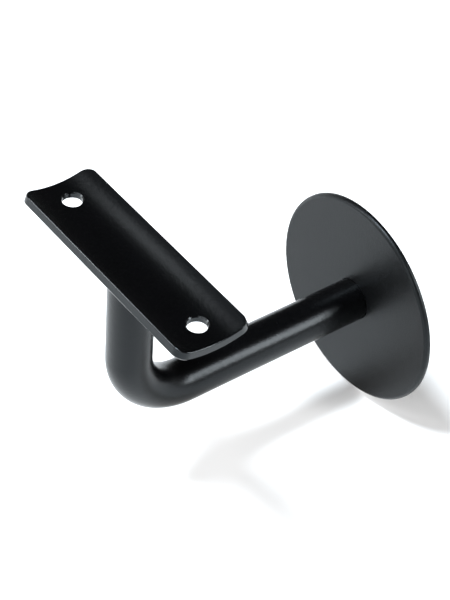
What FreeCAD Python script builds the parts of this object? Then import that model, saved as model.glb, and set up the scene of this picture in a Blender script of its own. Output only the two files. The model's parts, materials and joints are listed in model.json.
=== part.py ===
import FreeCAD, Part
import math
import os

import Sketcher
from FreeCAD import Vector

# Handrail bracket: a round steel bar comes out of a thin wall disc, turns up through one bend
# and carries a curved saddle plate. The bar is welded to both and has a tapped hole for the
# hanger bolt in the wall.
#
# Frame: the wall is the plane y = 0 and the bracket stands out of it towards -Y. The bar leaves
# the wall along the Y axis, +Z is up, and the rail runs along X. Lengths are in millimetres.

SIZES = {
    # the bent bar
    "bar_diameter": 12.0,
    "reach": 76.5,              # wall to the axis of the upright
    "bend_radius": 18.0,        # at the bar's centre line
    "rise": 47.5,               # bar axis up to the saddle's underside
    "end_setback": 0.3,         # the bar stops short of the wall, so only the disc touches it
    "end_chamfer": 0.9,         # at the wall end, one side of the weld groove
    # the tapped blind hole for an M8 hanger bolt
    "tap_bore": 6.8,
    "tap_depth": 24.0,
    "tap_mouth": 8.4,           # width of the countersunk mouth
    # the wall disc
    "disc_diameter": 61.0,
    "disc_thickness": 1.5,
    "disc_round": 1.0,          # rounding of the front edge
    "disc_bore": 12.2,          # the bar slips through with 0.1 mm all round
    "weld_setback": 0.1,        # the weld behind the disc is ground just below flush
    # the saddle plate
    "plate_length": 68.0,
    "plate_width": 21.4,        # straight across the underside
    "plate_thickness": 2.4,
    "seat_radius": 26.5,
    "corner_radius": 3.0,
    "edge_round": 0.4,          # round the strip's rim, on the rail's side
    "edge_break": 0.3,          # round the strip's rim, underneath
    "screw_spacing": 53.0,
    "screw_hole": 5.2,
    "screw_sink": 7.0,          # width of the 90 degree countersink under the plate
    "screw_hole_break": 0.3,    # broken edge of the holes on the rail's side
    # the fillet weld under the saddle
    "weld_leg": 2.5,            # down the bar, below the saddle's lowest line
    "weld_spread": 3.3,         # outwards from the bar
    "weld_climb": 1.6,          # above that lowest line, where the plate curves up
}

document = FreeCAD.newDocument("HandrailBracket")
sheet = document.addObject("Spreadsheet::Sheet", "Sizes")
for row, (alias, millimetres) in enumerate(SIZES.items(), start=1):
    sheet.set(f"A{row}", alias)
    sheet.set(f"B{row}", str(millimetres))
    sheet.setAlias(f"B{row}", alias)
document.recompute()


# ---- small helpers for sketches, dimensions and edges ----

ORIGIN = (-1, 1)                # the sketch's origin point
ACROSS = -1                     # the sketch's horizontal axis
UPWARDS = -2                    # the sketch's vertical axis


def value(formula):
    """What a formula of sheet cells comes to, in millimetres."""
    return float(sheet.evalExpression(formula))


def new_body(name):
    body = document.addObject("PartDesign::Body", name)
    body.Label = name
    return body


def new_sketch(body, name, plane, raised=None):
    """A sketch on one of the body's own origin planes, or raised off it by a formula."""
    sketch = body.newObject("Sketcher::SketchObject", name)
    support = next(face for face in body.Origin.OriginFeatures if face.Role == plane)
    sketch.AttachmentSupport = (support, "")
    sketch.MapMode = "FlatFace"
    if raised:
        sketch.setExpression("AttachmentOffset.Base.z", raised)
    return sketch


def dimension(sketch, name, formula, kind, *where):
    """A named sketch dimension that follows a formula of sheet cells."""
    index = sketch.addConstraint(Sketcher.Constraint(kind, *where, value(formula)))
    sketch.renameConstraint(index, name)
    sketch.setExpression(f"Constraints.{name}", formula)


def line(sketch, start, end):
    return sketch.addGeometry(Part.LineSegment(Vector(*start, 0), Vector(*end, 0)))


def arc(sketch, start, middle, end):
    return sketch.addGeometry(Part.Arc(Vector(*start, 0), Vector(*middle, 0), Vector(*end, 0)))


def circle(sketch, name, diameter, centre=(0, 0)):
    """A circle whose diameter follows the sheet. Its centre is tied down by the caller."""
    shape = Part.Circle(Vector(*centre, 0), Vector(0, 0, 1), value(diameter) / 2)
    index = sketch.addGeometry(shape)
    dimension(sketch, name, diameter, "Diameter", index)
    return index


def join(sketch, *pairs):
    """Make pairs of points one point: each is (geometry, end, geometry, end)."""
    for pair in pairs:
        sketch.addConstraint(Sketcher.Constraint("Coincident", *pair))


def bind(thing, **formulas):
    """Tie properties of a feature to formulas of sheet cells."""
    for name, formula in formulas.items():
        thing.setExpression(name, formula)


def edges(feature, wanted):
    """Names of the edges of a feature that pass a test of the edge and its middle point."""
    names = []
    for number, edge in enumerate(feature.Shape.Edges, start=1):
        middle = edge.valueAt((edge.FirstParameter + edge.LastParameter) / 2)
        if wanted(edge, middle):
            names.append(f"Edge{number}")
    if not names:
        raise RuntimeError(f"no edge of {feature.Label} passes the test")
    return names


def dress(body, kind, name, base, names, **formulas):
    """A Fillet or Chamfer on some edges of the feature that comes before it."""
    feature = body.newObject(f"PartDesign::{kind}", name)
    feature.Base = (base, names)
    bind(feature, **formulas)
    document.recompute()
    return feature


def must_cut(before, after):
    """A pocket or hole that points away from the solid cuts nothing and shows no error."""
    if after.Shape.Volume > before.Shape.Volume - 1e-3:
        raise RuntimeError(f"{after.Label} removed nothing")


def cope(body, base, centre_y, centre_z, length):
    """Cut a feature back to the saddle's underside, a cylinder along X over its top."""
    sketch = new_sketch(body, "cope_line", "YZ_Plane")
    middle = (value(centre_y), value(centre_z))
    ring = circle(sketch, "underside", "2 * (Sizes.seat_radius + Sizes.plate_thickness)", middle)
    if middle[0]:
        dimension(sketch, "out", f"-({centre_y})", "DistanceX", ring, 3, *ORIGIN)
    else:
        sketch.addConstraint(Sketcher.Constraint("PointOnObject", ring, 3, UPWARDS))
    dimension(sketch, "up", centre_z, "DistanceY", *ORIGIN, ring, 3)
    pocket = body.newObject("PartDesign::Pocket", "cope")
    pocket.Profile = sketch
    pocket.SideType = "Symmetric"
    bind(pocket, Length=length)
    document.recompute()
    must_cut(base, pocket)
    return pocket


# ---- support_rod: the bent round bar ----

def make_support_rod():
    body = new_body("support_rod")
    section = new_sketch(body, "bar_section", "XZ_Plane", raised="Sizes.end_setback")
    ring = circle(section, "bar_size", "Sizes.bar_diameter")
    join(section, (ring, 3, *ORIGIN))

    # out from the wall, round the bend and up past the saddle's underside, ready for the cope
    end = -value("Sizes.end_setback")
    out = -value("Sizes.reach")
    bend = value("Sizes.bend_radius")
    top = value("Sizes.rise + Sizes.plate_thickness")
    turn = bend * (1 - math.cos(math.radians(45)))      # the middle of the bend
    path = new_sketch(body, "bar_path", "YZ_Plane")
    level = line(path, (end, 0), (out + bend, 0))
    elbow = arc(path, (out + bend, 0), (out + turn, turn), (out, bend))
    upright = line(path, (out, bend), (out, top))
    path.addConstraint(Sketcher.Constraint("PointOnObject", level, 1, ACROSS))
    path.addConstraint(Sketcher.Constraint("Horizontal", level))
    path.addConstraint(Sketcher.Constraint("Vertical", upright))
    path.addConstraint(Sketcher.Constraint("Tangent", level, 2, elbow, 2))
    path.addConstraint(Sketcher.Constraint("Tangent", elbow, 1, upright, 1))
    dimension(path, "setback", "Sizes.end_setback", "DistanceX", level, 1, *ORIGIN)
    dimension(path, "bend", "Sizes.bend_radius", "Radius", elbow)
    dimension(path, "reach", "Sizes.reach", "DistanceX", upright, 2, *ORIGIN)
    dimension(path, "top", "Sizes.rise + Sizes.plate_thickness", "DistanceY", *ORIGIN, upright, 2)
    document.recompute()

    bar = body.newObject("PartDesign::AdditivePipe", "bar")
    bar.Profile = section
    bar.Spine = path
    document.recompute()

    coped = cope(
        body, bar, "-Sizes.reach", "Sizes.rise + Sizes.seat_radius + Sizes.plate_thickness",
        "3 * Sizes.bar_diameter",
    )
    mouth = edges(coped, lambda edge, middle: abs(middle.y - end) < 1e-6)
    chamfered = dress(body, "Chamfer", "end_chamfer", coped, mouth, Size="Sizes.end_chamfer")

    # the tapped hole, drilled at the thread's core diameter, with a drill point and a sunk mouth
    centre = new_sketch(body, "tap_centre", "XZ_Plane", raised="Sizes.end_setback")
    ring = circle(centre, "tap", "Sizes.tap_bore")
    join(centre, (ring, 3, *ORIGIN))
    document.recompute()
    hole = body.newObject("PartDesign::Hole", "tapped_hole")
    hole.Profile = centre
    hole.Reversed = True
    hole.DepthType = "Dimension"
    hole.DrillPoint = "Angled"
    hole.DrillPointAngle = 118
    hole.HoleCutType = "Countersink"
    hole.HoleCutCustomValues = True
    hole.HoleCutCountersinkAngle = 90
    bind(hole, Diameter="Sizes.tap_bore", Depth="Sizes.tap_depth", HoleCutDiameter="Sizes.tap_mouth")
    document.recompute()
    must_cut(chamfered, hole)
    return body


# ---- wall_disc: the thin plate against the wall ----

def make_wall_disc():
    body = new_body("wall_disc")
    outline = new_sketch(body, "disc_outline", "XZ_Plane")
    for name, diameter in (("rim", "Sizes.disc_diameter"), ("bore", "Sizes.disc_bore")):
        ring = circle(outline, name, diameter)
        join(outline, (ring, 3, *ORIGIN))
    disc = body.newObject("PartDesign::Pad", "disc")
    disc.Profile = outline
    bind(disc, Length="Sizes.disc_thickness")
    document.recompute()

    rim = value("Sizes.disc_diameter / 2")
    front = -value("Sizes.disc_thickness")
    bore = value("Sizes.disc_bore / 2")
    front_edge = edges(
        disc,
        lambda edge, middle: abs(middle.y - front) < 1e-6 and abs(edge.Curve.Radius - rim) < 1e-6,
    )
    rounded = dress(body, "Fillet", "front_round", disc, front_edge, Radius="Sizes.disc_round")
    back_edge = edges(
        rounded,
        lambda edge, middle: abs(middle.y) < 1e-6 and abs(edge.Curve.Radius - bore) < 1e-6,
    )
    dress(body, "Chamfer", "weld_groove", rounded, back_edge, Size="Sizes.end_chamfer")
    return body


# ---- disc_weld: the weld that fills the groove behind the disc ----

def make_disc_weld():
    body = new_body("disc_weld")
    chamfer = value("Sizes.end_chamfer")
    setback = value("Sizes.end_setback")
    bar = value("Sizes.bar_diameter / 2")
    bore = value("Sizes.disc_bore / 2")
    ground = value("Sizes.weld_setback")

    # corners as (from the wall, from the axis): on the bar's end, on the disc, and the two roots
    section = new_sketch(body, "weld_section", "YZ_Plane")
    on_bar = (-setback, bar - chamfer)
    on_disc = (-ground, bore + chamfer - ground)
    disc_root = (-chamfer, bore)
    bar_root = (-setback - chamfer, bar)
    corners = (on_bar, on_disc, disc_root, bar_root)
    back, disc_side, root, bar_side = [
        line(section, start, end) for start, end in zip(corners, corners[1:] + corners[:1])
    ]
    join(
        section,
        (back, 2, disc_side, 1), (disc_side, 2, root, 1),
        (root, 2, bar_side, 1), (bar_side, 2, back, 1),
    )
    placed = (
        ("on_bar", back, "Sizes.end_setback", "Sizes.bar_diameter / 2 - Sizes.end_chamfer"),
        (
            "on_disc", disc_side, "Sizes.weld_setback",
            "Sizes.disc_bore / 2 + Sizes.end_chamfer - Sizes.weld_setback",
        ),
        ("disc_root", root, "Sizes.end_chamfer", "Sizes.disc_bore / 2"),
        ("bar_root", bar_side, "Sizes.end_setback + Sizes.end_chamfer", "Sizes.bar_diameter / 2"),
    )
    for name, side, depth, radius in placed:
        dimension(section, f"{name}_depth", depth, "DistanceX", side, 1, *ORIGIN)
        dimension(section, f"{name}_radius", radius, "DistanceY", *ORIGIN, side, 1)
    weld = body.newObject("PartDesign::Revolution", "weld")
    weld.Profile = section
    weld.ReferenceAxis = (section, ["H_Axis"])
    weld.Angle = 360
    document.recompute()
    return body


# ---- saddle_plate: the curved strip under the rail ----

def on_upright(body):
    """Stand a body's own origin on the upright's axis, level with the saddle's underside."""
    body.setExpression("Placement.Base.y", "-Sizes.reach")
    body.setExpression("Placement.Base.z", "Sizes.rise")


def make_saddle_plate():
    body = new_body("saddle_plate")
    on_upright(body)
    seat = value("Sizes.seat_radius")
    under = value("Sizes.seat_radius + Sizes.plate_thickness")
    half = value("Sizes.plate_width / 2")
    drop = (under**2 - half**2) ** 0.5

    # a slice of a ring: its ends point at the rail's axis
    section = new_sketch(body, "strip_section", "YZ_Plane")
    shrink = seat / under
    lower = [(-half, under - drop), (0, 0), (half, under - drop)]
    upper = [(across * shrink, under - (under - up) * shrink) for across, up in lower]
    underside = arc(section, *lower)
    seat_face = arc(section, *upper)
    left = line(section, lower[0], upper[0])
    right = line(section, upper[2], lower[2])
    join(
        section,
        (underside, 1, left, 1), (left, 2, seat_face, 1),
        (seat_face, 2, right, 1), (right, 2, underside, 2),
        (underside, 3, seat_face, 3),
    )
    section.addConstraint(Sketcher.Constraint("PointOnObject", underside, 3, UPWARDS))
    section.addConstraint(Sketcher.Constraint("PointOnObject", underside, 3, left))
    section.addConstraint(Sketcher.Constraint("PointOnObject", underside, 3, right))
    section.addConstraint(Sketcher.Constraint("Symmetric", underside, 1, underside, 2, UPWARDS))
    under_formula = "Sizes.seat_radius + Sizes.plate_thickness"
    dimension(section, "under", under_formula, "Radius", underside)
    dimension(section, "seat", "Sizes.seat_radius", "Radius", seat_face)
    dimension(section, "height", under_formula, "DistanceY", *ORIGIN, underside, 3)
    dimension(section, "width", "Sizes.plate_width", "DistanceX", underside, 1, underside, 2)
    strip = body.newObject("PartDesign::Pad", "strip")
    strip.Profile = section
    strip.SideType = "Symmetric"
    bind(strip, Length="Sizes.plate_length")
    document.recompute()

    # the four corners: short edges through the thickness, at both ends
    end = value("Sizes.plate_length / 2")
    thickness = value("Sizes.plate_thickness")
    corners = edges(
        strip,
        lambda edge, middle: abs(abs(middle.x) - end) < 1e-6 and abs(edge.Length - thickness) < 1e-6,
    )
    cornered = dress(body, "Fillet", "corners", strip, corners, Radius="Sizes.corner_radius")

    # one screw hole, sunk from below, and its mirror image
    centre = new_sketch(body, "screw_centre", "XY_Plane")
    half_spacing = value("Sizes.screw_spacing / 2")
    ring = circle(centre, "hole", "Sizes.screw_hole", (half_spacing, 0))
    centre.addConstraint(Sketcher.Constraint("PointOnObject", ring, 3, ACROSS))
    dimension(centre, "offset", "Sizes.screw_spacing / 2", "DistanceX", *ORIGIN, ring, 3)
    document.recompute()
    hole = body.newObject("PartDesign::Hole", "screw_hole")
    hole.Profile = centre
    hole.Reversed = True
    hole.DepthType = "ThroughAll"
    hole.HoleCutType = "Countersink"
    hole.HoleCutCustomValues = True
    hole.HoleCutCountersinkAngle = 90
    bind(hole, Diameter="Sizes.screw_hole", HoleCutDiameter="Sizes.screw_sink")
    document.recompute()
    must_cut(cornered, hole)
    mirrored = body.newObject("PartDesign::Mirrored", "other_screw_hole")
    mirrored.Originals = [hole]
    mirrored.MirrorPlane = (centre, ["V_Axis"])
    body.Tip = mirrored
    document.recompute()
    must_cut(hole, mirrored)

    # edges that lie on the seat or on the underside, by their distance from the rail's axis
    def lies_on(radius, middle, slack=1e-3):
        return abs(((middle.z - under) ** 2 + middle.y**2) ** 0.5 - radius) < slack

    def on_rim(middle):
        return abs(middle.x) > end - 1.5 or abs(middle.y) > half - 1.5

    seat_rim = edges(mirrored, lambda edge, middle: lies_on(seat, middle) and on_rim(middle))
    rounded = dress(body, "Fillet", "rim_round", mirrored, seat_rim, Radius="Sizes.edge_round")
    lower_rim = edges(rounded, lambda edge, middle: lies_on(under, middle) and on_rim(middle))
    broken = dress(body, "Chamfer", "rim_break", rounded, lower_rim, Size="Sizes.edge_break")
    hole_edges = edges(
        broken,
        lambda edge, middle: lies_on(seat, middle, 0.05) and abs(abs(middle.x) - half_spacing) < 4,
    )
    dress(body, "Chamfer", "hole_break", broken, hole_edges, Size="Sizes.screw_hole_break")
    return body


# ---- saddle_weld: the fillet weld round the top of the bar ----

def make_saddle_weld():
    body = new_body("saddle_weld")
    on_upright(body)
    bar = value("Sizes.bar_diameter / 2")
    toe = (bar, -value("Sizes.weld_leg"))
    root = (bar, value("Sizes.weld_climb"))
    brim = (bar + value("Sizes.weld_spread"), value("Sizes.weld_climb"))

    # a slanting face from the toe on the bar to the brim, which the cope then trims to the plate
    section = new_sketch(body, "weld_section", "XZ_Plane")
    face = line(section, toe, brim)
    top = line(section, brim, root)
    inside = line(section, root, toe)
    join(section, (face, 2, top, 1), (top, 2, inside, 1), (inside, 2, face, 1))
    section.addConstraint(Sketcher.Constraint("Horizontal", top))
    section.addConstraint(Sketcher.Constraint("Vertical", inside))
    dimension(section, "bar_size", "Sizes.bar_diameter / 2", "DistanceX", *ORIGIN, inside, 2)
    dimension(section, "leg", "Sizes.weld_leg", "DistanceY", inside, 2, *ORIGIN)
    dimension(section, "climb", "Sizes.weld_climb", "DistanceY", *ORIGIN, inside, 1)
    dimension(section, "spread", "Sizes.weld_spread", "DistanceX", inside, 1, face, 2)
    weld = body.newObject("PartDesign::Revolution", "weld")
    weld.Profile = section
    weld.ReferenceAxis = (section, ["V_Axis"])
    weld.Angle = 360
    document.recompute()
    cope(
        body, weld, "0", "Sizes.seat_radius + Sizes.plate_thickness",
        "4 * Sizes.bar_diameter",
    )
    return body


# ---- build, check and write each piece ----

bodies = [
    make_support_rod(),
    make_wall_disc(),
    make_disc_weld(),
    make_saddle_plate(),
    make_saddle_weld(),
]
document.recompute()
for thing in document.Objects:
    if "Invalid" in thing.State or "Error" in thing.State:
        raise RuntimeError(f"{thing.Label} did not build: {thing.State}")
for body in bodies:
    if body.Shape.isNull() or not body.Shape.isValid() or len(body.Shape.Solids) != 1:
        raise RuntimeError(f"{body.Label} is not one valid solid")

os.makedirs("parts", exist_ok=True)
for body in bodies:
    body.Shape.exportStep(f"parts/{body.Label}.step")
    box = body.Shape.BoundBox
    print(
        f"{body.Label}: {body.Shape.Volume:.1f} mm3,",
        f"x {box.XMin:.2f} to {box.XMax:.2f}, y {box.YMin:.2f} to {box.YMax:.2f},",
        f"z {box.ZMin:.2f} to {box.ZMax:.2f}",
    )
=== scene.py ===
"""A powder coated handrail bracket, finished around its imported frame."""

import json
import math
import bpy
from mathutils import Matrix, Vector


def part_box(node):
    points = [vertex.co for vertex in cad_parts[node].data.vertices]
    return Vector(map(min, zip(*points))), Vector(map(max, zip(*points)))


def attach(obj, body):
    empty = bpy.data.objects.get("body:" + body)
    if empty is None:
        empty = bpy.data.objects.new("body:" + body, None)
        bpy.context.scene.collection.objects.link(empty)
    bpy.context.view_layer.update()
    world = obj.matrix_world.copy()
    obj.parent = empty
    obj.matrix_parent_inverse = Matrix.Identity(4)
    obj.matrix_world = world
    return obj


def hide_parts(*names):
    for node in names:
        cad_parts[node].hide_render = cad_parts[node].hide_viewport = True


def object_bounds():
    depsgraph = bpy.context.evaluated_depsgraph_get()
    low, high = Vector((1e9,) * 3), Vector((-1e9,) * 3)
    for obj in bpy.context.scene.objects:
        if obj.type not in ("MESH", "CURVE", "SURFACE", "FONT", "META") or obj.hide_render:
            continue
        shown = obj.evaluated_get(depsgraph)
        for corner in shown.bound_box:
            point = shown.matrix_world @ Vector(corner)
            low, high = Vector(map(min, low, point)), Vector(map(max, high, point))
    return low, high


bl_info = {
    "name": "Handrail Bracket",
    "version": (1, 0, 0),
    "blender": (4, 5, 0),
    "location": "View3D > Sidebar > Bracket",
    "description": "Builds the looks of a powder coated handrail bracket and its studio",
    "category": "Object",
}

import bmesh
import bpy
from bpy.props import FloatProperty, FloatVectorProperty, IntProperty, PointerProperty
from mathutils import Matrix, Vector

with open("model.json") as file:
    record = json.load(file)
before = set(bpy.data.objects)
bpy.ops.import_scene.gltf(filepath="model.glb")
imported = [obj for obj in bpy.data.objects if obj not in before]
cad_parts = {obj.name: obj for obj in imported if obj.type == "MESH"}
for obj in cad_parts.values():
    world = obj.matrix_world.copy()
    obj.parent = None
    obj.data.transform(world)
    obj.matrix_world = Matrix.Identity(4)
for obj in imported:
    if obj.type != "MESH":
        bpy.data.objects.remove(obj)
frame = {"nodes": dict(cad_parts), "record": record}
CAD_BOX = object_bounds()
MM = 0.001


# ---- sizes that the frame gives ----

_, BAR_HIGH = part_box("support_rod")
PLATE_LOW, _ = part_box("saddle_plate")
MOUNTS = {mount["name"]: mount for mount in frame["record"]["mounts"]}

BAR_RADIUS = BAR_HIGH.x
BAR_END = BAR_HIGH.y                        # the wall end, just short of the wall
UPRIGHT = Vector((0.0, MOUNTS["rail_screws"]["pos_m"][1], 0.0))
UNDERSIDE = PLATE_LOW.z                     # the saddle's lowest line
TAP_RADIUS = MOUNTS["wall_thread"]["dims"]["r_mm"] * MM
TAP_LENGTH = MOUNTS["wall_thread"]["dims"]["length_mm"] * MM

QUARTER_TURN = math.radians(90)
FULL_TURN = math.radians(360)
ALONG_BAR = Matrix.Rotation(QUARTER_TURN, 4, "X")           # turns +Z to -Y
CENTRE = (0, 0, 0)
ROUND_Y, ROUND_Z = (0, 1, 0), (0, 0, 1)
DIAGONAL = math.sqrt(0.5)                   # what a push at 45 degrees moves along each axis


# ---- the coat, the bare steel and the stage, with lengths in metres ----

WAVE_HEIGHT = 0.050 * MM                    # of the orange peel
GRAIN_HEIGHT = 0.030 * MM
NIB_HEIGHT = 0.05 * MM
NIB_CELL = 7.0 * MM                         # one nib at most in each
NIB_REACH = 0.035                           # of a cell: a nib is half a millimetre across
NIB_THRESHOLD = 0.62                        # cells paler than this have a nib: one in three
DRIFT_SIZE = 14.0 * MM                      # of the slow change between thin and thick coat
FLECKS_PER_GRAIN = 1.3                      # flecks are a little finer than the grain
FLECK_FADE = 0.45, 0.75                     # noise at which a fleck begins, and is full
GLOSS_SPREAD = 0.03                         # of the roughness, up and down, over the grain
COAT_IOR = 1.5                              # polyester

TOOL_MARK_SIZE = 0.3 * MM
TOOL_MARK_HEIGHT = 0.004 * MM
STEEL_ROUGHNESS = 0.28, 0.42

FLOOR_HALF = 20.0                           # half the width of the paper
PAPER_ROUGHNESS = 0.9
LAMP_DISTANCE = 0.6
CLIP_RANGE = 0.01, 50.0

# name, azimuth from +X towards +Y, elevation, width and height in metres, watts
SOFTBOXES = (
    ("stripe_along_bar", 34, 28, (0.12, 0.30), 2.6),
    ("line_on_strip", 229, 29, (0.08, 0.34), 2.2),
    ("front", 262, 34, (0.3, 0.24), 0.8),
    ("rims_and_holes", 298, 30, (0.16, 0.3), 1.0),
    ("band_in_saddle", 175, 55, (0.08, 0.08), 0.065),
)


def linear(hex_colour):
    """An sRGB hex colour as linear red, green and blue."""
    channels = (int(hex_colour[n : n + 2], 16) / 255 for n in (1, 3, 5))
    return tuple(c / 12.92 if c <= 0.04045 else ((c + 0.055) / 1.055) ** 2.4 for c in channels)


# ---- what a user would change ----

class BracketSizes(bpy.types.PropertyGroup):
    """Sizes of the pieces that are modelled here."""

    bend_radius: FloatProperty(
        name="Bend radius", description="Of the bar's centre line",
        default=18.0 * MM, subtype="DISTANCE", unit="LENGTH",
    )
    end_chamfer: FloatProperty(
        name="End chamfer", description="On the bar's wall end",
        default=0.9 * MM, subtype="DISTANCE", unit="LENGTH",
    )
    underside_radius: FloatProperty(
        name="Underside radius", description="Of the saddle's convex side, which the bar meets",
        default=28.9 * MM, subtype="DISTANCE", unit="LENGTH",
    )
    thread_pitch: FloatProperty(
        name="Thread pitch", description="Coarse metric thread of 8 mm",
        default=1.25 * MM, subtype="DISTANCE", unit="LENGTH",
    )
    thread_radius: FloatProperty(
        name="Thread radius", description="At the bottom of the thread's grooves",
        default=4.0 * MM, subtype="DISTANCE", unit="LENGTH",
    )
    thread_depth: FloatProperty(
        name="Thread depth", description="How far in the full thread reaches",
        default=19.0 * MM, subtype="DISTANCE", unit="LENGTH",
    )
    weld_leg: FloatProperty(
        name="Weld leg", description="Of the bead under the saddle, along the bar and the plate",
        default=2.4 * MM, subtype="DISTANCE", unit="LENGTH",
    )
    weld_ripple: FloatProperty(
        name="Weld ripple", description="Height of the scales along the bead, under the coat",
        default=0.09 * MM, subtype="DISTANCE", unit="LENGTH",
    )
    weld_scales: IntProperty(
        name="Weld scales", description="How many scales the bead has in one turn",
        default=36, min=8, max=80,
    )


class BracketFinish(bpy.types.PropertyGroup):
    """The powder coat and the bare thread."""

    coat_colour: FloatVectorProperty(
        name="Coat", description="Jet black polyester powder",
        default=linear("#030304"), size=3, subtype="COLOR", min=0.0, max=1.0,
    )
    coat_shade: FloatVectorProperty(
        name="Coat, deeper", description="The same powder where it lies thicker",
        default=linear("#010101"), size=3, subtype="COLOR", min=0.0, max=1.0,
    )
    coat_gleam: FloatVectorProperty(
        name="Coat gleam", description="Cast of what the coat mirrors, a little cool",
        default=linear("#edf8ff"), size=3, subtype="COLOR", min=0.0, max=1.0,
    )
    fleck_colour: FloatVectorProperty(
        name="Flecks", description="Flakes of the powder that lie right at the surface",
        default=linear("#2a2b2c"), size=3, subtype="COLOR", min=0.0, max=1.0,
    )
    coat_roughness: FloatProperty(
        name="Coat roughness", description="Satin: about 40 gloss units",
        default=0.21, min=0.0, max=1.0, subtype="FACTOR",
    )
    peel_size: FloatProperty(
        name="Orange peel", description="Width of the coat's slow waves",
        default=1.8 * MM, subtype="DISTANCE", unit="LENGTH",
    )
    # real flakes are under 0.1 mm wide: the grain is drawn coarser, so that it shows
    grain_size: FloatProperty(
        name="Grain", description="Width of the coat's fine grain",
        default=0.5 * MM, subtype="DISTANCE", unit="LENGTH",
    )
    steel_colour: FloatVectorProperty(
        name="Bare steel", description="The thread, masked while the coat was sprayed",
        default=linear("#8b8984"), size=3, subtype="COLOR", min=0.0, max=1.0,
    )


class BracketStage(bpy.types.PropertyGroup):
    """Camera and light."""

    azimuth: FloatProperty(
        name="Azimuth", description="Round the bracket",
        default=math.radians(50.35), subtype="ANGLE",
    )
    elevation: FloatProperty(
        name="Elevation", description="Above the horizon",
        default=math.radians(42.7), subtype="ANGLE",
    )
    roll: FloatProperty(
        name="Roll", description="About the line of sight",
        default=math.radians(4.93), subtype="ANGLE",
    )
    aim: FloatVectorProperty(
        name="Aim", description="The point in the middle of the picture",
        default=(-6.5 * MM, -41.5 * MM, 14.3 * MM), size=3, subtype="TRANSLATION", unit="LENGTH",
    )
    distance: FloatProperty(
        name="Distance", description="From the aim",
        default=496.2 * MM, subtype="DISTANCE", unit="LENGTH",
    )
    lens: FloatProperty(name="Lens", description="Focal length in millimetres", default=113.45)
    floor_colour: FloatVectorProperty(
        name="Floor", description="Pale paper",
        default=linear("#f2f2f2"), size=3, subtype="COLOR", min=0.0, max=1.0,
    )


# ---- meshes ----

def spun(bm, geom, centre, axis, angle, steps, lift=(0, 0, 0), closed=False):
    """Spin edges or points about an axis. Returns the last ring's geometry."""
    done = bmesh.ops.spin(
        bm, geom=geom, cent=centre, axis=axis, dvec=lift, angle=angle, steps=steps,
        use_merge=closed, use_normal_flip=False, use_duplicate=False,
    )
    return done["geom_last"]


def only(kind, items):
    """The items of one kind, such as edges, out of a mixed list."""
    return [item for item in items if isinstance(item, kind)]


def drawn(bm, points):
    """An open line through points. Returns its corners and its edges."""
    corners = [bm.verts.new(point) for point in points]
    return corners, [bm.edges.new(pair) for pair in zip(corners, corners[1:])]


def pushed(bm, edges, move):
    """Extrude edges and move the new ones. Returns the new edges."""
    done = bmesh.ops.extrude_edge_only(bm, edges=edges)
    bmesh.ops.translate(bm, verts=only(bmesh.types.BMVert, done["geom"]), vec=move)
    return only(bmesh.types.BMEdge, done["geom"])


def welded(bm, gap=0.001 * MM):
    """Merge points that lie together, then turn all faces outwards."""
    bmesh.ops.remove_doubles(bm, verts=bm.verts, dist=gap)
    bmesh.ops.recalc_face_normals(bm, faces=bm.faces)


def new_object(name, bm):
    """Turn a finished bmesh into an object at the origin."""
    mesh = bpy.data.meshes.new(name)
    bm.to_mesh(mesh)
    bm.free()
    made = bpy.data.objects.new(name, mesh)
    bpy.context.scene.collection.objects.link(made)
    return made


def shade(mesh, crisp=math.radians(30)):
    """Shade smooth, apart from edges that turn more sharply than the crisp angle."""
    mesh.polygons.foreach_set("use_smooth", [True] * len(mesh.polygons))
    mesh.set_sharp_from_angle(angle=crisp)


def cut(blank, tools, fewest_faces):
    """Cut tools out of a blank for good, and drop the tools. Too few faces left is an error."""
    for tool in tools:
        modifier = blank.modifiers.new(tool.name, "BOOLEAN")
        modifier.operation = "DIFFERENCE"
        modifier.solver = "EXACT"
        modifier.object = tool
    bpy.context.view_layer.update()
    seen = blank.evaluated_get(bpy.context.evaluated_depsgraph_get())
    mesh = bpy.data.meshes.new_from_object(seen)
    blank.modifiers.clear()
    blank.data = mesh
    for tool in tools:
        bpy.data.meshes.remove(tool.data)
    if len(mesh.polygons) < fewest_faces:
        raise RuntimeError(f"{blank.name} lost its shape in the cut")


def saddle_rise(y, radius):
    """How far the saddle's underside has climbed at a distance y from its lowest line."""
    return radius - math.sqrt(radius**2 - y**2)


def bar_blank(sizes):
    """The bent bar before drilling: chamfered wall end, one bend, top coped to the saddle."""
    around, along_bend = 96, 48
    bm = bmesh.new()
    start = Matrix.Translation((0, BAR_END - sizes.end_chamfer, 0)) @ ALONG_BAR
    ring = bmesh.ops.create_circle(
        bm, cap_ends=False, radius=BAR_RADIUS, segments=around, matrix=start,
    )
    first = list({edge for vert in ring["verts"] for edge in vert.link_edges})

    # the wall end: chamfer, then the flat end face
    shrunk = pushed(bm, first, (0, sizes.end_chamfer, 0))
    rim = list({vert for edge in shrunk for vert in edge.verts})
    narrow = 1 - sizes.end_chamfer / BAR_RADIUS
    bmesh.ops.scale(bm, verts=rim, vec=(narrow, 1, narrow))
    bmesh.ops.holes_fill(bm, edges=shrunk, sides=around)

    # the level run, the bend and the upright
    bend_start = UPRIGHT.y + sizes.bend_radius
    level = pushed(bm, first, (0, bend_start - (BAR_END - sizes.end_chamfer), 0))
    last = spun(
        bm, level, (0, bend_start, sizes.bend_radius), (-1, 0, 0), QUARTER_TURN, along_bend,
    )
    top = pushed(bm, only(bmesh.types.BMEdge, last), (0, 0, UNDERSIDE - sizes.bend_radius))
    for vert in {vert for edge in top for vert in edge.verts}:
        vert.co.z = UNDERSIDE + saddle_rise(vert.co.y - UPRIGHT.y, sizes.underside_radius)
    bmesh.ops.holes_fill(bm, edges=top, sides=around)
    welded(bm)
    return new_object("bent_bar", bm)


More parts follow.
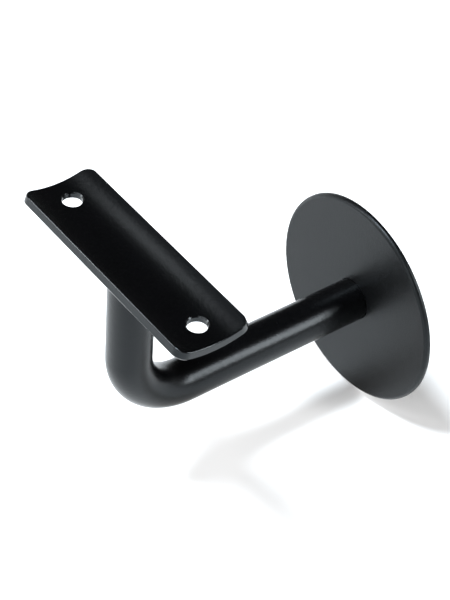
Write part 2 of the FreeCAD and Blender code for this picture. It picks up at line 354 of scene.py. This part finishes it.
def drill_tool(sizes):
    """The tap drill with its point, and the countersink over the mouth."""
    around = 96
    point_angle = math.radians(118)
    mouth = sizes.thread_radius + 0.2 * MM
    sink = mouth - TAP_RADIUS
    bottom = BAR_END - sink - TAP_LENGTH
    point = TAP_RADIUS / math.tan(point_angle / 2)
    outside = 1.0 * MM                      # how far the countersink's cone goes on outside
    bm = bmesh.new()
    _, edges = drawn(bm, (
        (0, BAR_END + outside, 0),
        (mouth + outside, BAR_END + outside, 0),
        (TAP_RADIUS, BAR_END - sink, 0),
        (TAP_RADIUS, bottom, 0),
        (0, bottom - point, 0),
    ))
    spun(bm, edges, CENTRE, ROUND_Y, FULL_TURN, around, closed=True)
    welded(bm)
    return new_object("tap_drill", bm)


def tap_tool(sizes):
    """The tap: a thread profile along the axis, turned once while it climbs by one pitch."""
    pitch, steps = sizes.thread_pitch, 72
    root = TAP_RADIUS - 0.15 * MM           # inside the drilled hole, so it cuts nothing there
    crest_flat, root_flat = pitch / 8, pitch / 5
    flank = (pitch - crest_flat - root_flat) / 2
    spare_turns = 3                         # the profile goes on past both ends, then is trimmed
    turns = math.ceil(sizes.thread_depth / pitch) + spare_turns
    far = BAR_END - sizes.thread_depth - spare_turns / 2 * pitch
    mouth = BAR_END + 0.6 * MM
    points = []
    for turn in range(turns):
        y = far + turn * pitch
        points += [
            (root, y, 0),
            (root, y + root_flat, 0),
            (sizes.thread_radius, y + root_flat + flank, 0),
            (sizes.thread_radius, y + root_flat + flank + crest_flat, 0),
        ]
    bm = bmesh.new()
    _, edges = drawn(bm, points)
    spun(bm, edges, CENTRE, ROUND_Y, FULL_TURN, steps, lift=(0, pitch / steps, 0))
    bmesh.ops.remove_doubles(bm, verts=bm.verts, dist=0.002 * MM)
    for y, out in ((mouth, 1), (BAR_END - sizes.thread_depth, -1)):
        cut_edge = bmesh.ops.bisect_plane(
            bm, geom=bm.verts[:] + bm.edges[:] + bm.faces[:], plane_co=(0, y, 0),
            plane_no=(0, out, 0), clear_outer=True,
        )
        bmesh.ops.holes_fill(bm, edges=only(bmesh.types.BMEdge, cut_edge["geom_cut"]), sides=0)
    bmesh.ops.recalc_face_normals(bm, faces=bm.faces)
    return new_object("tap", bm)


def weld_ring(sizes):
    """The fillet bead round the bar's top. It climbs with the plate and has a welder's scales."""
    across, around = 10, 288
    leg = sizes.weld_leg
    swell = 0.16 * leg                      # how far the bead's face is crowned
    sunk = 0.35 * MM                        # how far the bead's hidden side lies in the steel
    lag = 1.1                               # four times the share of a scale that it lags
    steepness = 1.6                         # over 1, a scale slopes off slowly and then faster
    bm = bmesh.new()
    face = [
        (BAR_RADIUS + leg * n / across, -leg + leg * n / across) for n in range(across + 1)
    ]
    crown = [swell * math.sin(math.pi * n / across) * DIAGONAL for n in range(across + 1)]
    line = [(radius + push, level - push) for (radius, level), push in zip(face, crown)]
    line += [(BAR_RADIUS + leg, sunk), (BAR_RADIUS - sunk, sunk), (BAR_RADIUS - sunk, -leg)]
    corners, edges = drawn(bm, [(radius, 0, level) for radius, level in line])
    edges.append(bm.edges.new((corners[-1], corners[0])))
    spun(bm, edges, CENTRE, ROUND_Z, FULL_TURN, around, closed=True)
    welded(bm)
    for vert in bm.verts:
        out = math.hypot(vert.co.x, vert.co.y)
        angle = math.atan2(vert.co.y, vert.co.x)
        on_face = min(max((out - BAR_RADIUS) / leg, 0.0), 1.0)
        if vert.co.z < sunk / 2:            # the open face, and not the side that is hidden
            # each scale is a crescent: its middle lags behind its two toes
            phase = sizes.weld_scales * angle / FULL_TURN + lag * (on_face - 0.5) ** 2
            # no hand is quite even: the scales' height wanders between 0.7 and 1.3 times
            wander = 0.5 + 0.5 * math.sin(3 * angle + 0.7) * math.sin(5 * angle)
            height = sizes.weld_ripple * (0.7 + 0.6 * wander) * math.sin(math.pi * on_face)
            push = height * (1 - 2 * (phase % 1.0) ** steepness) * DIAGONAL
            vert.co.x += push * math.cos(angle)
            vert.co.y += push * math.sin(angle)
            vert.co.z -= push
        vert.co.z += saddle_rise(vert.co.y, sizes.underside_radius)
    bmesh.ops.translate(bm, verts=bm.verts, vec=UPRIGHT + Vector((0, 0, UNDERSIDE)))
    bmesh.ops.recalc_face_normals(bm, faces=bm.faces)
    return new_object("saddle_bead", bm)


# ---- materials ----

def add(tree, kind, values=(), links=(), **settings):
    """Add a shader node with its settings, its sockets' values, and what feeds its sockets."""
    node = tree.nodes.new(kind)
    for name, value in settings.items():
        setattr(node, name, value)
    for socket, value in dict(values).items():
        node.inputs[socket].default_value = value
    for socket, source in dict(links).items():
        tree.links.new(source, node.inputs[socket])
    return node


def new_material(name):
    """An empty material. Returns it and its node tree."""
    material = bpy.data.materials.new(name)
    material.use_nodes = True
    material.node_tree.nodes.clear()
    return material, material.node_tree


def powder_coat(name, finish, peel=1.0, grain=1.0, flecks=1.0, level=0.2, matt=0.0):
    """Satin black polyester powder, sprayed and baked on steel.

    The powder melts and flows but never quite levels, which leaves slow waves like orange peel,
    a fine grain where single flakes still show, and now and then a nib of dust under the skin.

    It lies a little differently on each piece. Peel and grain multiply the height of the waves
    and of the grain, flecks is how strongly the flecks show, level is how much the skin mirrors,
    and matt adds to its roughness.
    """
    material, tree = new_material(name)
    place = add(tree, "ShaderNodeTexCoord").outputs["Object"]

    # slow waves, and over them the grain of flakes that didn't flow out
    waves = add(
        tree, "ShaderNodeTexNoise", {"Scale": 1 / finish.peel_size, "Detail": 1.0},
        {"Vector": place},
    )
    flakes = add(
        tree, "ShaderNodeTexNoise", {"Scale": 1 / finish.grain_size, "Detail": 2.0},
        {"Vector": place},
    )
    wave_bump = add(
        tree, "ShaderNodeBump", {"Strength": 1.0, "Distance": WAVE_HEIGHT * peel},
        {"Height": waves.outputs[0]},
    )
    grain_bump = add(
        tree, "ShaderNodeBump", {"Strength": 1.0, "Distance": GRAIN_HEIGHT * grain},
        {"Height": flakes.outputs[0], "Normal": wave_bump.outputs[0]},
    )

    # nibs: one cell in three holds a speck of dust
    cells = add(tree, "ShaderNodeTexVoronoi", {"Scale": 1 / NIB_CELL}, {"Vector": place})
    near = add(
        tree, "ShaderNodeMapRange",
        {"From Min": 0.0, "From Max": NIB_REACH, "To Min": 1.0, "To Max": 0.0},
        {"Value": cells.outputs["Distance"]},
    )
    chosen = add(
        tree, "ShaderNodeMath", {1: NIB_THRESHOLD}, {0: cells.outputs["Color"]},
        operation="GREATER_THAN",
    )
    nib = add(
        tree, "ShaderNodeMath", (), {0: near.outputs[0], 1: chosen.outputs[0]},
        operation="MULTIPLY",
    )
    nib_bump = add(
        tree, "ShaderNodeBump", {"Strength": 1.0, "Distance": NIB_HEIGHT},
        {"Height": nib.outputs[0], "Normal": grain_bump.outputs[0]},
    )

    # colour drifts a little between thin and thick coat, and single flakes catch the light
    drift = add(
        tree, "ShaderNodeTexNoise", {"Scale": 1 / DRIFT_SIZE, "Detail": 3.0}, {"Vector": place},
    )
    depth = add(
        tree, "ShaderNodeMix", {6: (*finish.coat_shade, 1), 7: (*finish.coat_colour, 1)},
        {0: drift.outputs[0]}, data_type="RGBA",
    )
    specks = add(
        tree, "ShaderNodeTexNoise",
        {"Scale": FLECKS_PER_GRAIN / finish.grain_size, "Detail": 1.0}, {"Vector": place},
    )
    caught = add(
        tree, "ShaderNodeMapRange",
        {"From Min": FLECK_FADE[0], "From Max": FLECK_FADE[1], "To Max": flecks},
        {"Value": specks.outputs[0]},
    )
    colour = add(
        tree, "ShaderNodeMix", {7: (*finish.fleck_colour, 1)},
        {0: caught.outputs[0], 6: depth.outputs[2]}, data_type="RGBA",
    )
    gloss = add(
        tree, "ShaderNodeMapRange",
        {
            "To Min": finish.coat_roughness + matt - GLOSS_SPREAD,
            "To Max": finish.coat_roughness + matt + GLOSS_SPREAD,
        },
        {"Value": flakes.outputs[0]},
    )
    surface = add(
        tree, "ShaderNodeBsdfPrincipled",
        {
            "IOR": COAT_IOR, "Specular IOR Level": level,
            "Specular Tint": (*finish.coat_gleam, 1), "Metallic": 0.0,
        },
        {
            "Base Color": colour.outputs[2],
            "Roughness": gloss.outputs[0],
            "Normal": nib_bump.outputs[0],
        },
    )
    add(tree, "ShaderNodeOutputMaterial", (), {"Surface": surface.outputs[0]})
    return material


def bare_steel(finish):
    """Tapped steel, masked while the powder was sprayed: bright flanks with fine tool marks."""
    material, tree = new_material("bare_tapped_steel")
    place = add(tree, "ShaderNodeTexCoord").outputs["Object"]
    marks = add(
        tree, "ShaderNodeTexNoise", {"Scale": 1 / TOOL_MARK_SIZE, "Detail": 2.0},
        {"Vector": place},
    )
    bump = add(
        tree, "ShaderNodeBump", {"Strength": 1.0, "Distance": TOOL_MARK_HEIGHT},
        {"Height": marks.outputs[0]},
    )
    gloss = add(
        tree, "ShaderNodeMapRange",
        {"To Min": STEEL_ROUGHNESS[0], "To Max": STEEL_ROUGHNESS[1]},
        {"Value": marks.outputs[0]},
    )
    surface = add(
        tree, "ShaderNodeBsdfPrincipled",
        {"Base Color": (*finish.steel_colour, 1), "Metallic": 1.0},
        {"Roughness": gloss.outputs[0], "Normal": bump.outputs[0]},
    )
    add(tree, "ShaderNodeOutputMaterial", (), {"Surface": surface.outputs[0]})
    return material


def dress(thing, *materials):
    """Give a piece these materials and no others."""
    thing.data.materials.clear()
    for material in materials:
        thing.data.materials.append(material)


# ---- one operator for each piece or group of like pieces ----

class BRACKET_OT_bent_bar(bpy.types.Operator):
    """Bend the round bar, cope its top, and drill and tap its wall end"""

    bl_idname = "bracket.bent_bar"
    bl_label = "Bent bar"

    def execute(self, context):
        sizes, finish = context.scene.bracket_sizes, context.scene.bracket_finish
        bar = bar_blank(sizes)
        cut(bar, [drill_tool(sizes), tap_tool(sizes)], fewest_faces=1000)
        coat = powder_coat(
            "powder_coat_on_bar", finish, peel=0.4, grain=1.1, flecks=0.1, matt=0.05,
        )
        dress(bar, coat, bare_steel(finish))
        bare_radius = sizes.thread_radius + 0.15 * MM
        for face in bar.data.polygons:
            middle = face.center
            in_hole = math.hypot(middle.x, middle.z) < bare_radius
            face.material_index = int(in_hole and middle.y > UPRIGHT.y / 2)
        shade(bar.data)
        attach(bar, "root")
        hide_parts("support_rod")
        return {"FINISHED"}


class BRACKET_OT_saddle_bead(bpy.types.Operator):
    """Lay the fillet weld between the bar and the saddle"""

    bl_idname = "bracket.saddle_bead"
    bl_label = "Saddle weld"

    def execute(self, context):
        bead = weld_ring(context.scene.bracket_sizes)
        dress(bead, powder_coat("powder_coat_on_weld", context.scene.bracket_finish, peel=0.6))
        shade(bead.data, math.radians(60))
        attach(bead, "root")
        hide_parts("saddle_weld")
        return {"FINISHED"}


class BRACKET_OT_flat_pieces(bpy.types.Operator):
    """Coat the saddle strip, the wall disc and the ground weld behind it"""

    bl_idname = "bracket.flat_pieces"
    bl_label = "Strip, disc and ground weld"

    def execute(self, context):
        finish = context.scene.bracket_finish
        coats = {
            "saddle_plate": powder_coat(
                "powder_coat_on_strip", finish, peel=0.3, grain=0.7, flecks=0.05, level=0.3,
            ),
            "wall_disc": powder_coat(
                "powder_coat_on_disc", finish, peel=0.3, grain=1.5, flecks=0.15, matt=0.17,
            ),
            "disc_weld": powder_coat("powder_coat_on_ground_weld", finish, peel=0.4, grain=1.5),
        }
        for node, coat in coats.items():
            dress(frame["nodes"][node], coat)
        return {"FINISHED"}


class BRACKET_OT_stage(bpy.types.Operator):
    """Set the floor, the soft lights and the camera"""

    bl_idname = "bracket.stage"
    bl_label = "Stage"

    def execute(self, context):
        stage = context.scene.bracket_stage
        lay_floor(stage)
        light_studio()
        aim_camera(stage)
        return {"FINISHED"}


def lay_floor(stage):
    """A wide sheet of pale paper, level with the bracket's lowest point."""
    bm = bmesh.new()
    bmesh.ops.create_grid(bm, x_segments=1, y_segments=1, size=FLOOR_HALF)
    bmesh.ops.translate(bm, verts=bm.verts, vec=(0, 0, CAD_BOX[0].z))
    floor = new_object("floor", bm)
    material, tree = new_material("pale_paper")
    surface = add(
        tree, "ShaderNodeBsdfPrincipled",
        {"Base Color": (*stage.floor_colour, 1), "Roughness": PAPER_ROUGHNESS},
    )
    add(tree, "ShaderNodeOutputMaterial", (), {"Surface": surface.outputs[0]})
    dress(floor, material)


def hang(lamp, azimuth, elevation, distance=LAMP_DISTANCE):
    """Hang a lamp round the bracket's middle, degrees from +X towards +Y and above the horizon."""
    round_z, up = math.radians(azimuth), math.radians(elevation)
    towards = Vector((
        math.cos(round_z) * math.cos(up), math.sin(round_z) * math.cos(up), math.sin(up),
    ))
    stand = bpy.data.objects.new(lamp.name, lamp)
    stand.location = (CAD_BOX[0] + CAD_BOX[1]) / 2 + towards * distance
    stand.rotation_mode = "QUATERNION"
    stand.rotation_quaternion = (-towards).to_track_quat("-Z", "Y")
    bpy.context.scene.collection.objects.link(stand)


def softbox(name, azimuth, elevation, size, power):
    """A flat lamp that faces the bracket."""
    lamp = bpy.data.lights.new(name, "AREA")
    lamp.shape = "RECTANGLE"
    lamp.size, lamp.size_y = size
    lamp.energy = power
    hang(lamp, azimuth, elevation)


def hazy_room():
    """Pale low down and dim above. The haze lies lowest where the saddle's hollow mirrors it."""
    saddle_side = (-0.77, 0.64, 0.0)
    beside, facing = 0.75, 0.93             # cosines of the angle to that side
    top, top_when_facing = 0.45, 0.10       # where the haze ends: sines of the elevation
    thick = 0.3                             # the share of that height which is fully pale
    pale, dim = 1.0, 0.03
    world = bpy.context.scene.world = bpy.data.worlds.new("hazy_room")
    world.use_nodes = True
    tree = world.node_tree
    ray = add(tree, "ShaderNodeTexCoord").outputs["Generated"]
    height = add(tree, "ShaderNodeSeparateXYZ", (), {"Vector": ray}).outputs["Z"]
    side = add(
        tree, "ShaderNodeVectorMath", {1: saddle_side}, {0: ray}, operation="DOT_PRODUCT",
    )
    haze_top = add(
        tree, "ShaderNodeMapRange",
        {"From Min": beside, "From Max": facing, "To Min": top, "To Max": top_when_facing},
        {"Value": side.outputs["Value"]}, interpolation_type="SMOOTHSTEP",
    )
    share = add(
        tree, "ShaderNodeMath", (), {0: height, 1: haze_top.outputs[0]}, operation="DIVIDE",
    )
    haze = add(
        tree, "ShaderNodeMapRange",
        {"From Min": thick, "From Max": 1.0, "To Min": pale, "To Max": dim},
        {"Value": share.outputs[0]}, interpolation_type="SMOOTHSTEP",
    )
    tree.links.new(haze.outputs[0], tree.nodes["Background"].inputs["Strength"])
    tree.nodes["Background"].inputs["Color"].default_value = (1, 1, 1, 1)


def light_studio():
    """A broad, cool light high up on the left, and soft lamps that each draw a line or a band."""
    bpy.context.scene.view_settings.view_transform = "Standard"
    hazy_room()
    broad = bpy.data.lights.new("broad_light", "SUN")
    broad.energy = 4.9
    broad.color = (0.92, 1.0, 1.06)
    broad.angle = math.radians(16)          # wide, so that shadows have soft edges
    hang(broad, azimuth=240, elevation=67, distance=1.0)
    for lamp in SOFTBOXES:
        softbox(*lamp)


def aim_camera(stage):
    """A long lens above and to the right, turned a little about its line of sight."""
    level = math.cos(stage.elevation)
    back = Vector((
        math.sin(stage.azimuth) * level,
        -math.cos(stage.azimuth) * level,
        math.sin(stage.elevation),
    ))
    camera = bpy.data.objects.new("camera", bpy.data.cameras.new("camera"))
    camera.data.lens = stage.lens
    camera.data.clip_start, camera.data.clip_end = CLIP_RANGE
    camera.location = Vector(stage.aim) + back * stage.distance
    camera.rotation_mode = "QUATERNION"
    upright = (-back).to_track_quat("-Z", "Y")
    camera.rotation_quaternion = upright @ Matrix.Rotation(stage.roll, 4, "Z").to_quaternion()
    bpy.context.scene.collection.objects.link(camera)
    bpy.context.scene.camera = camera


class BRACKET_PT_tools(bpy.types.Panel):
    """The bracket's pieces, finish and stage"""

    bl_idname = "BRACKET_PT_tools"
    bl_label = "Handrail Bracket"
    bl_space_type = "VIEW_3D"
    bl_region_type = "UI"
    bl_category = "Bracket"

    def draw(self, context):
        for operator in OPERATORS:
            self.layout.operator(operator.bl_idname)
        for group in ("bracket_sizes", "bracket_finish", "bracket_stage"):
            settings = getattr(context.scene, group)
            column = self.layout.column(align=True)
            for name in type(settings).__annotations__:
                column.prop(settings, name)


OPERATORS = (
    BRACKET_OT_bent_bar,
    BRACKET_OT_saddle_bead,
    BRACKET_OT_flat_pieces,
    BRACKET_OT_stage,
)
GROUPS = {
    "bracket_sizes": BracketSizes,
    "bracket_finish": BracketFinish,
    "bracket_stage": BracketStage,
}


def register():
    for kind in (*GROUPS.values(), *OPERATORS, BRACKET_PT_tools):
        bpy.utils.register_class(kind)
    for name, group in GROUPS.items():
        setattr(bpy.types.Scene, name, PointerProperty(type=group))


def unregister():
    for name in GROUPS:
        delattr(bpy.types.Scene, name)
    for kind in (BRACKET_PT_tools, *reversed(OPERATORS), *reversed(GROUPS.values())):
        bpy.utils.unregister_class(kind)


def main():
    register()
    bpy.ops.bracket.bent_bar()
    bpy.ops.bracket.saddle_bead()
    bpy.ops.bracket.flat_pieces()
    bpy.ops.bracket.stage()


if __name__ == "__main__":
    main()
